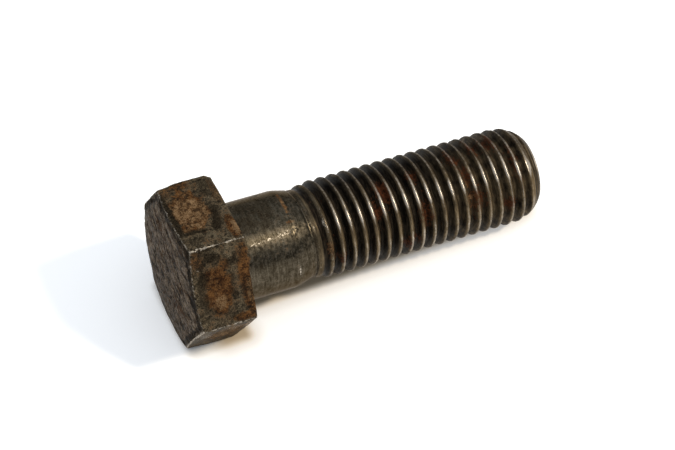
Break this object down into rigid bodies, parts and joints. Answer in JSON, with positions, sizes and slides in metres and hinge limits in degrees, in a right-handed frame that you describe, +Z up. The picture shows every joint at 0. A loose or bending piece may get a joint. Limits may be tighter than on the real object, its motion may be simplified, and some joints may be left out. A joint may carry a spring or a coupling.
{
  "type": "hex head screw",
  "caption": "Part-threaded steel hex head screw, forged and rolled in one piece, worn and rusty, lying on a flat of its head.",
  "frame": {"origin": "centre of the bearing face under the head, on the screw's axis", "axes": "+X level, from the head towards the tip; the screw's own axis dips 4.4 degrees below it, because the screw lies on one flat of its head and on its last full crest; +Y level across the screw; +Z up"},
  "size_m": [0.096, 0.0404, 0.0361],
  "materials": {
    "old_steel": "dark oily rolled and forged steel, with rust on the flats of the head and bare metal on worn edges"
  },
  "bodies": {
    "root": {"hex_head_screw": "old_steel"}
  },
  "joints": []
}
